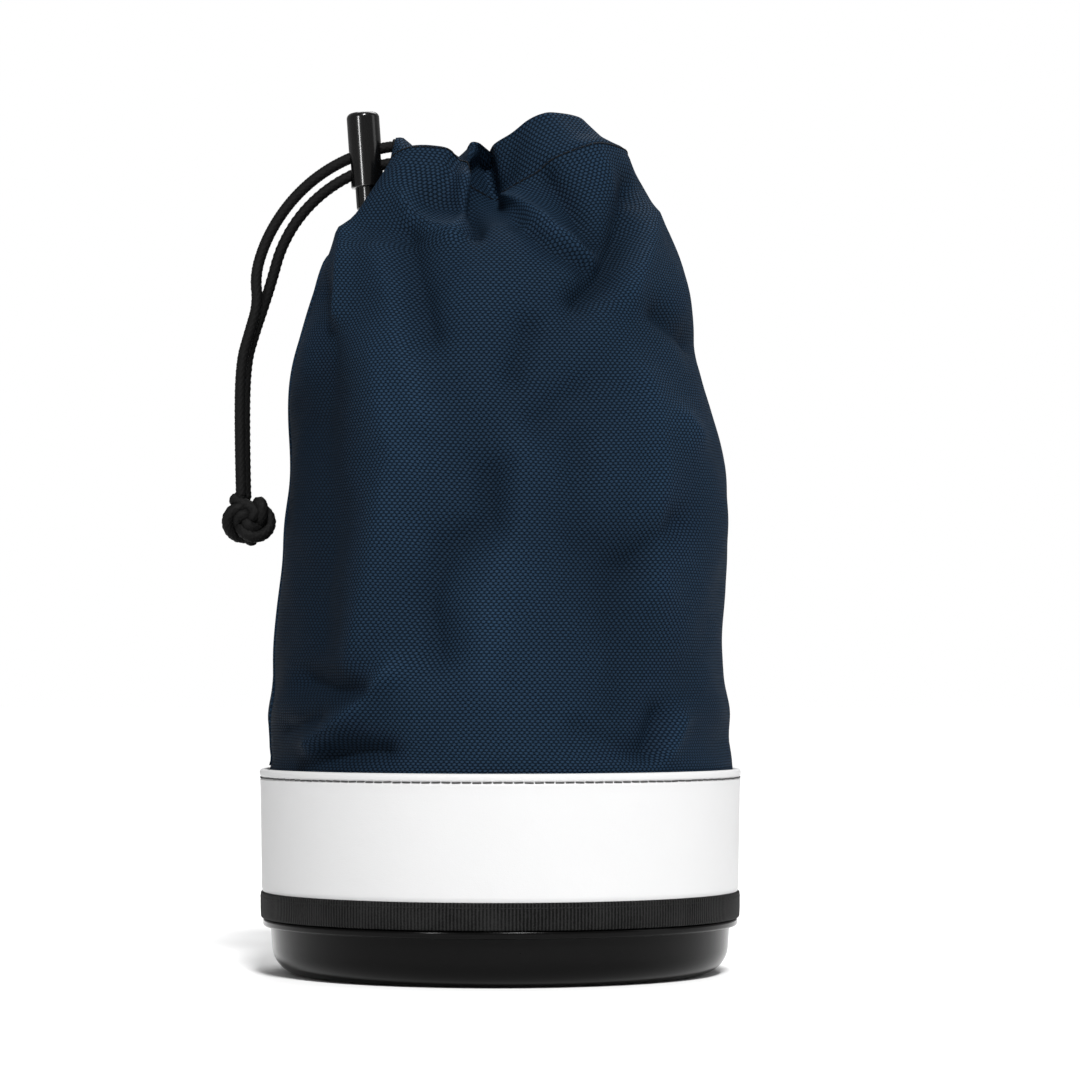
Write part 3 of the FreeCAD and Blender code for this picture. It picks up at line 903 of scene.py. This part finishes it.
class BagCloth:
    """The fabric tube and its turned-over hem as one grid of points, in millimetres.

    Columns run round the tube from the seam at the left past the front. Rows run up the
    outside, over the top edge of the hem and down inside it."""

    columns = 288
    body_top = 292.0
    centre = np.array([6.0, 0.0])       # middle of the mouth, which lies to the right of the axis
    rows_to_foot = 12                   # from the tube's top row to the hem's foot
    rows_to_middle = 7                  # then to the middle of the hem
    rows_to_top = 7                     # then to its top edge
    rows_over = 2                       # then over the edge
    rows_inside = 12                    # and down the hem's inner wall

    def __init__(self):
        places = np.arange(self.columns) / self.columns
        heights = np.concatenate([np.linspace(26, 78, 14), np.linspace(80, self.body_top, 98)])
        body = self.body_rows(places, heights)
        foot = round_mouth([(s, n) for s, n, _ in mouth_keys], places)
        top = round_mouth([(s, t) for s, _, t in mouth_keys], places)
        hem = self.rows_through(self.mouth_stations(body, foot, top))
        self.points = np.concatenate([body, hem])
        self.hem_row = len(body) + self.rows_to_foot - 1
        self.top_row = self.hem_row + self.rows_to_middle + self.rows_to_top
        self.crumple()
        self.line_hem()
        self.normals = grid_normals(self.points)

    def body_rows(self, places, heights):
        turn = math.pi + 2 * math.pi * places
        left = along_outline(left_outline, heights)[:, None]
        right = along_outline(right_outline, heights)[:, None]
        depth = along_outline(depth_outline, heights)[:, None]
        x = (right - left) / 2 + (right + left) / 2 * np.cos(turn)[None, :]
        y = depth * np.sin(turn)[None, :]
        beside_lock = fade(heights, 282.0, 298.0)[:, None]
        valley_depth, valley_half_width = 15.0, 9.5
        valley = valley_depth * beside_lock**1.3 * np.exp(-(y / valley_half_width) ** 2) * (x < 0)
        z = np.broadcast_to(heights[:, None], x.shape)
        return np.stack([x + valley, y, z], axis=2)

    def mouth_stations(self, body, foot, top):
        """Lines round the mouth that the cloth passes through, from the tube's top row inwards.

        The last only gives the direction in which the cloth leaves the edge."""
        inward = np.append(self.centre, 0.0) - top
        inward[:, 2] = 0
        outward = -inward / np.linalg.norm(inward, axis=1)[:, None]
        bulge = 0.6
        middle = (foot + top) / 2 + outward * bulge
        over = top + inward * 0.05 + np.array([0, 0, 0.4])
        inside = top + inward * 0.16 - np.array([0, 0, 7.0])
        return [body[-2], body[-1], foot, middle, top, over, inside]

    def rows_through(self, stations):
        """Rows of points along a smooth curve from the second station to the last but one."""
        stations = np.array(stations)
        gap = np.linalg.norm(np.diff(stations, axis=0), axis=2)
        run = np.concatenate([np.zeros((1, self.columns)), np.cumsum(gap, axis=0)])
        slope = np.zeros_like(stations)
        slope[1:-1] = (stations[2:] - stations[:-2]) / (run[2:] - run[:-2])[:, :, None]
        rows = []
        counts = (self.rows_to_foot, self.rows_to_middle, self.rows_to_top, self.rows_over)
        for index, count in enumerate(counts, start=1):
            span = gap[index][:, None]
            for step in range(1, count + 1):
                f = step / count
                rows.append(hermite(f, span, stations[index], slope[index],
                                    stations[index + 1], slope[index + 1]))
        return np.array(rows)

    def crumple(self):
        """Raise the folds out of the smooth cloth, and paint light and shade for each point: painted shade
        on the flanks, lighter fold crests, darker fold valleys.
        """
        normals = grid_normals(self.points)
        x, y, z = np.moveaxis(self.points, 2, 0)
        wrinkles = small_wrinkles(self.points)
        front = fade(y, 6.0, -16.0)
        back = fade(y, 2.0, 26.0)
        relief = fold_relief(x, z, front_folds) * front
        back_folds = front_folds[:26]
        relief += fold_relief(-0.94 * x, z + 5.0, back_folds) * back
        free = fade(z, 82.0, 88.0)
        inside = np.arange(len(self.points))[:, None] > self.top_row
        relief = np.where(inside, 0, (relief + wrinkles) * free)
        self.points = self.points + normals * relief[:, :, None]
        # Painted shade: the front's left flank, and a little of its right, is darkened below the hem.
        left_flank = fade(x, -32.0, -60.0)
        right_flank = fade(x, 28.0, 56.0)
        below_hem = fade(z, 250.0, 225.0)
        shaded = (left_flank * 0.9 + right_flank * 0.2) * front * below_hem
        # Painted light and shade: fold crests are lighter and valleys darker, by their height.
        plain_light, light_per_mm = 1.05, 0.11
        self.light = np.clip(plain_light - shaded + relief * light_per_mm, 0.1, 1.4)

    def line_hem(self):
        """Lay the cord's run inside the hem, then the hem's inner wall behind it."""
        below, above = 8, 15            # rows of the hem beside the cord, counted from its foot
        same_direction = 0.965          # cosine of the widest angle
        same_height = 5.0
        from_hem = 3.0                  # from the hem's outside in to the cord's middle
        from_cord = 2.8                 # from there in to the inner wall
        widest_wall = 36.0
        early = 2.6                     # the wall is in its place well above the raw edge
        no_hem = 60.0                   # the reach where no hem is beside the cord
        hem_depth = 9.0                 # from the cord down to the raw edge
        hem = self.points[self.hem_row - below:self.hem_row + above]
        out = with_neighbours(self.points[self.hem_row + 4, :, :2], 10).mean(axis=0) - self.centre
        direction = out / np.linalg.norm(out, axis=1)[:, None]
        height = with_neighbours(self.points[self.hem_row + 5, :, 2], 16).min(axis=0)
        height = with_neighbours(height, 8).mean(axis=0) - 1.0
        spread = hem[:, :, :2].reshape(-1, 2) - self.centre
        reach = np.linalg.norm(spread, axis=1)
        beside = direction @ (spread / reach[:, None]).T > same_direction
        beside &= np.abs(hem[:, :, 2].ravel()[None, :] - height[:, None]) < same_height
        drawn_in = np.where(beside, reach, no_hem).min(axis=1)
        drawn_in = with_neighbours(drawn_in, 6).mean(axis=0)[:, None] - from_hem
        self.cord_run = np.column_stack([self.centre + direction * drawn_in, height])
        wall = self.centre + direction * np.minimum(drawn_in - from_cord, widest_wall)
        over = self.points[-1]
        rows = []
        for step in range(1, self.rows_inside + 1):
            part = step / self.rows_inside
            swing = math.sin(min(1.0, part * early) * math.pi / 2)
            rows.append(np.column_stack([over[:, :2] * (1 - swing) + wall * swing,
                                         over[:, 2] * (1 - part) + (height - hem_depth) * part]))
        self.points = np.concatenate([self.points, rows])
        self.light = np.concatenate([self.light, np.repeat(self.light[-1:], len(rows), axis=0)])

    def texture_places(self):
        """UV of each grid point, in metres along the cloth: round from the front, and up.

        From the right side to the back, the shift that the gathers give dies out."""
        rows, columns, _ = self.points.shape
        closed = np.concatenate([self.points, self.points[:, :1]], axis=1)
        gap = np.linalg.norm(np.diff(closed, axis=1), axis=2)
        run = np.concatenate([np.zeros((rows, 1)), np.cumsum(gap, axis=1)], axis=1)
        front = columns // 4
        part = np.arange(columns + 1) / columns
        even = part * girth
        shift = (run - run[:, front:front + 1]) - (even - even[front])[None, :]
        side = shift[:, columns // 2:columns // 2 + 1]
        rest = np.clip(1 - (part - 0.5) / 0.25, 0, 1)[None, :]
        shift = np.where(part[None, :] > 0.5, side * rest, shift)
        u = even[None, :] + shift
        rise = np.linalg.norm(np.diff(self.points, axis=0), axis=2).mean(axis=1)
        v = np.concatenate([[0], np.cumsum(rise)])
        return u * mm, np.broadcast_to(v[:, None], u.shape) * mm

    def at(self, place, row):
        """Point and normal at a place round the tube and a row, both fractional."""
        column = place * self.columns
        c0 = int(math.floor(column)) % self.columns
        c1 = (c0 + 1) % self.columns
        r0 = min(int(math.floor(row)), len(self.points) - 2)
        fc = column - math.floor(column)
        fr = row - r0
        found = []
        for grid in (self.points, self.normals):
            low = grid[r0, c0] * (1 - fc) + grid[r0, c1] * fc
            high = grid[r0 + 1, c0] * (1 - fc) + grid[r0 + 1, c1] * fc
            found.append(low * (1 - fr) + high * fr)
        return found[0], found[1] / np.linalg.norm(found[1])

    def row_at_height(self, place, height):
        column = int(round(place * self.columns)) % self.columns
        z = self.points[:self.hem_row, column, 2]
        return float(np.interp(height, z, np.arange(len(z))))


def set_uv(piece, u, v, columns):
    """Write the grid's UV on each face, with the seam at the first column."""
    layer = piece.data.uv_layers.new(name="cloth")
    places = np.zeros((len(piece.data.loops), 2))
    quads = len(piece.data.polygons)
    index = np.arange(quads)
    row, column = index // columns, index % columns
    corners = [(row, column), (row, column + 1), (row + 1, column + 1), (row + 1, column)]
    for corner, (r, c) in enumerate(corners):
        places[index * 4 + corner, 0] = u[r, c]
        places[index * 4 + corner, 1] = v[r, c]
    layer.data.foreach_set("uv", places.ravel())


def add_bag_cloth(cloth, material):
    rows, columns, _ = cloth.points.shape
    piece = mesh_piece("gathered_bag_cloth", cloth.points.reshape(-1, 3) * mm,
                       grid_faces(rows, columns, True))
    u, v = cloth.texture_places()
    set_uv(piece, u, v, columns)
    # The painted light and shade of each point, which darkens the weave on the shaded flanks and in fold
    # valleys.
    painted_light = piece.data.attributes.new("painted_light", "FLOAT", "POINT")
    painted_light.data.foreach_set("value", cloth.light.ravel())
    piece.data.shade_smooth()
    finish_piece(piece, material, "navy_fabric", "bag", "body_shell", "hem_channel")


def add_hem_cord(cloth, material):
    """The drawcord's hidden run inside the hem, drawn flat by the gathers."""
    path = cloth.cord_run[5:-5:3] * mm
    flattened = 0.6
    run = braided_tube("drawcord_inside_hem", path, cord_diameter * mm * flattened)
    finish_piece(run, material, "black_cord", "bag", "drawcord_hem_run")


def add_side_seam(cloth, material):
    """A felled seam: a folded strip that lies on the cloth at the left side."""
    half_width = 4.2
    sunk = 0.1
    seam_foot, seam_top = 81.5, 303.0
    profile = [(-1.0, 0.0), (-0.96, 0.75), (-0.6, 0.95), (0.0, 0.85), (0.6, 0.95), (0.96, 0.75), (1.0, 0.0)]
    rows = []
    heights = np.linspace(seam_foot, seam_top, 122)
    for height in heights:
        row = cloth.row_at_height(0.0, height)
        line = []
        for across, lift in profile:
            point, normal = cloth.at(across * half_width / girth, row)
            line.append(point + normal * (lift - sunk))
        rows.append(line)
    points = np.array(rows)
    piece = mesh_piece("felled_side_seam", points.reshape(-1, 3) * mm,
                       grid_faces(len(rows), len(profile), False))
    layer = piece.data.uv_layers.new(name="cloth")
    for loop in piece.data.loops:
        index = loop.vertex_index
        across = profile[index % len(profile)][0]
        layer.data[loop.index].uv = (across * half_width * mm, heights[index // len(profile)] * mm)
    # Painted light of the seam strip: one level all along, a little darker than flat cloth.
    painted_light = piece.data.attributes.new("painted_light", "FLOAT", "POINT")
    painted_light.data.foreach_set("value", np.full(len(piece.data.vertices), 0.9))
    piece.data.shade_smooth()
    finish_piece(piece, material, "navy_fabric", "bag", "side_seam")


def add_buttonhole(material):
    """Corded buttonhole in the hem, where the two ends of the drawcord come out."""
    hole_radius, cord_radius = 3.9, 0.75
    narrower, taller = 0.78, 1.42
    deselect()
    bpy.ops.mesh.primitive_torus_add(major_segments=72, minor_segments=14, major_radius=hole_radius * mm,
                                     minor_radius=cord_radius * mm, rotation=(0, math.pi / 2, 0))
    ring = bpy.context.active_object
    ring.name = "corded_buttonhole"
    ring.data.name = ring.name
    bpy.ops.object.transform_apply(location=True, rotation=True, scale=True)
    bpy.ops.object.mode_set(mode="EDIT")
    bpy.ops.mesh.select_all(action="SELECT")
    bpy.ops.transform.resize(value=(1.0, narrower, taller), center_override=(0, 0, 0))
    bpy.ops.transform.translate(value=(-42.3 * mm, 0, 324.0 * mm))
    bpy.ops.object.mode_set(mode="OBJECT")
    ring.data.shade_smooth()
    finish_piece(ring, material, "black_cord", "bag")


def add_cloth_stitches(cloth, material):
    """Stitches along the foot of the hem."""
    places = []
    pitch = 3.4
    lift = 0.15
    line = [cloth.at(s, cloth.hem_row) for s in np.linspace(0, 1, 1600, endpoint=False)]
    run = distances(np.array([point for point, _ in line]))
    for distance in np.arange(1.0, run[-1], pitch):
        index = min(int(np.searchsorted(run, distance)), len(line) - 2)
        point, normal = line[index]
        places.append(placement((point + normal * lift) * mm, line[index + 1][0] - point, normal))
    piece = copies("hem_stitch_row", one_stitch(length=2.7, diameter=0.6), places)
    finish_piece(piece, material, "dark_thread", "bag", "hem_stitching")


# ---- everything in its place ----

def recolour(node, material):
    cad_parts[node].data.materials.clear()
    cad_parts[node].data.materials.append(material)


def build():
    add_camera()
    add_studio()
    add_floor()
    cord = braid("black_braided_cord", 0.0008, 0.0055)
    fabric = navy_weave()
    lock = lock_plastic()
    add_drawcord(cord)
    add_base_cup(base_plastic())
    add_band(white_leatherette())
    add_binding(ribbed_tape())
    add_stitch_rows(braid("grey_band_thread", 0.02, 0.07), braid("black_tape_thread", 0.004, 0.02))
    cloth = BagCloth()
    add_hem_cord(cloth, cord)
    add_buttonhole(braid("black_buttonhole_thread", 0.0015, 0.008))
    add_side_seam(cloth, fabric)
    add_bag_cloth(cloth, fabric)
    add_cloth_stitches(cloth, braid("navy_thread", 0.002, 0.008))
    recolour("lock_barrel", lock)
    recolour("lock_plunger", lock)
    recolour("lock_spring", drawn_wire())
    recolour("band_stiffener", stiffener_sheet())


build()
